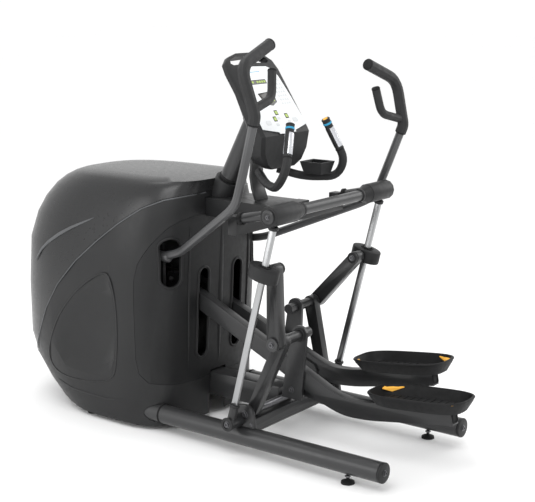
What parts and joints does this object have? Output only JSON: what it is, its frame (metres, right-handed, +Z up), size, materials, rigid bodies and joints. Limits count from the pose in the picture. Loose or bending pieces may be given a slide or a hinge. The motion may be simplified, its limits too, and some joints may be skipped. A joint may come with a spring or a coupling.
{
  "type": "elliptical trainer",
  "caption": "Rear-step elliptical trainer with rail-guided foot links, swinging arm levers, fixed grips, a tilted console on a mast and a rounded drive housing at the front.",
  "frame": {"origin": "under the middle of the bounding box, on the floor", "axes": "+Z is up, +Y points forward towards the drive housing, +X is the user's right"},
  "size_m": [0.913, 2.136, 1.5794],
  "materials": {
    "trim_plastic": "matte",
    "housing_plastic": "low gloss",
    "frame_paint": "satin",
    "rail_steel": "brushed",
    "belt_rubber": "matte",
    "cast_iron": "machined",
    "fascia_white": "satin",
    "grip_foam": "matte foam",
    "foot_rubber": "matte",
    "button_yellow": "satin"
  },
  "bodies": {
    "frame": {"accessory_tray": "trim_plastic", "bridge_cover": "housing_plastic", "console_shell": "trim_plastic", "console_strut": "frame_paint", "crank_bearing_frame": "frame_paint", "cross_beam": "frame_paint", "drive_belt": "belt_rubber", "end_block_left": "trim_plastic", "end_block_right": "trim_plastic", "end_cap_left": "trim_plastic", "end_cap_right": "trim_plastic", "fascia": "fascia_white", "fixed_bar_left": "grip_foam", "fixed_bar_right": "grip_foam", "floor_tube_left": "frame_paint", "floor_tube_right": "frame_paint", "foot_front_left": "foot_rubber", "foot_front_right": "foot_rubber", "foot_rear_left": "foot_rubber", "foot_rear_right": "foot_rubber", "front_cross_tube": "frame_paint", "hood": "housing_plastic", "lever_carrier": "frame_paint", "mast": "frame_paint", "mast_collar": "trim_plastic", "pivot_shaft": "rail_steel", "rail_bracket_left": "frame_paint", "rail_bracket_right": "frame_paint", "rail_foot_left": "frame_paint", "rail_foot_right": "frame_paint", "rail_left": "rail_steel", "rail_right": "rail_steel", "rear_cover": "housing_plastic", "side_cover_left": "housing_plastic", "side_cover_right": "housing_plastic", "spine_beam": "frame_paint", "support_arm_left": "frame_paint", "support_arm_right": "frame_paint", "upper_cross_tube": "frame_paint"},
    "left_rocker": {"rocker_leg_left": "frame_paint"},
    "left_post": {"post_left": "frame_paint"},
    "left_slider": {"slider_block_left": "trim_plastic"},
    "left_foot": {"foot_link_left": "frame_paint", "pedal_left": "trim_plastic"},
    "left_lever": {"lever_tube_left": "frame_paint", "lever_grip_left": "grip_foam"},
    "left_button": {"thumb_button_left": "button_yellow"},
    "right_rocker": {"rocker_leg_right": "frame_paint"},
    "right_post": {"post_right": "frame_paint"},
    "right_slider": {"slider_block_right": "trim_plastic"},
    "right_foot": {"foot_link_right": "frame_paint", "pedal_right": "trim_plastic"},
    "right_lever": {"lever_tube_right": "frame_paint", "lever_grip_right": "grip_foam"},
    "right_button": {"thumb_button_right": "button_yellow"},
    "crankset": {"crank": "rail_steel", "drive_pulley": "cast_iron"},
    "flywheel_body": {"flywheel": "cast_iron"}
  },
  "joints": [
    {"name": "stride", "type": "hinge", "parent": "frame", "child": "left_rocker", "pos_m": [-0.2425, -0.215, 0.165], "axis": [-1, 0, 0], "range_deg": [0, 36.8]},
    {"name": "left_post_swing", "type": "hinge", "parent": "left_rocker", "child": "left_post", "pos_m": [-0.285, -0.3537, 0.4666], "axis": [-1, 0, 0], "range_deg": [-80.8, 0]},
    {"name": "left_slider_swing", "type": "hinge", "parent": "left_post", "child": "left_slider", "pos_m": [-0.354, -0.3479, 0.7461], "axis": [-1, 0, 0], "range_deg": [0, 44]},
    {"name": "left_foot_swing", "type": "hinge", "parent": "left_rocker", "child": "left_foot", "pos_m": [-0.107, -0.3537, 0.4666], "axis": [-1, 0, 0], "range_deg": [-34.3, 0]},
    {"name": "left_lever_swing", "type": "hinge", "parent": "frame", "child": "left_lever", "pos_m": [-0.262, 0.283, 0.72], "axis": [-1, 0, 0], "range_deg": [-8.2, 0]},
    {"name": "right_rocker_swing", "type": "hinge", "parent": "frame", "child": "right_rocker", "pos_m": [0.2425, -0.215, 0.165], "axis": [-1, 0, 0], "range_deg": [-36.8, 0]},
    {"name": "right_post_swing", "type": "hinge", "parent": "right_rocker", "child": "right_post", "pos_m": [0.285, -0.1454, 0.4896], "axis": [-1, 0, 0], "range_deg": [0, 80.8]},
    {"name": "right_slider_swing", "type": "hinge", "parent": "right_post", "child": "right_slider", "pos_m": [0.354, -0.335, 0.695], "axis": [-1, 0, 0], "range_deg": [-44, 0]},
    {"name": "right_foot_swing", "type": "hinge", "parent": "right_rocker", "child": "right_foot", "pos_m": [0.107, -0.1454, 0.4896], "axis": [-1, 0, 0], "range_deg": [0, 34.3]},
    {"name": "right_lever_swing", "type": "hinge", "parent": "frame", "child": "right_lever", "pos_m": [0.262, 0.283, 0.72], "axis": [-1, 0, 0], "range_deg": [0, 8.2]},
    {"name": "crank_spin", "type": "hinge", "parent": "frame", "child": "crankset", "pos_m": [0, 0.4075, 0.586], "axis": [-1, 0, 0], "continuous": true},
    {"name": "flywheel_spin", "type": "hinge", "parent": "frame", "child": "flywheel_body", "pos_m": [0, 0.773, 0.44], "axis": [-1, 0, 0], "continuous": true},
    {"name": "left_button_press", "type": "slide", "parent": "frame", "child": "left_button", "axis": [-0.4323, -0.2162, -0.8754], "range_m": [0, 0.003], "stiffness_N_per_m": 400},
    {"name": "right_button_press", "type": "slide", "parent": "frame", "child": "right_button", "axis": [0.4323, -0.2162, -0.8754], "range_m": [0, 0.003], "stiffness_N_per_m": 400}
  ],
  "couplings": [
    {"joint": "right_rocker_swing", "follows": "stride", "ratio": -1},
    {"joint": "left_post_swing", "follows": "stride", "ratio": -2.193},
    {"joint": "left_slider_swing", "follows": "stride", "ratio": 1.193},
    {"joint": "left_foot_swing", "follows": "stride", "ratio": -0.932},
    {"joint": "left_lever_swing", "follows": "stride", "ratio": -0.2228},
    {"joint": "right_post_swing", "follows": "stride", "ratio": 2.193},
    {"joint": "right_slider_swing", "follows": "stride", "ratio": -1.193},
    {"joint": "right_foot_swing", "follows": "stride", "ratio": 0.932},
    {"joint": "right_lever_swing", "follows": "stride", "ratio": 0.2228},
    {"joint": "flywheel_spin", "follows": "crank_spin", "ratio": 5.769}
  ]
}
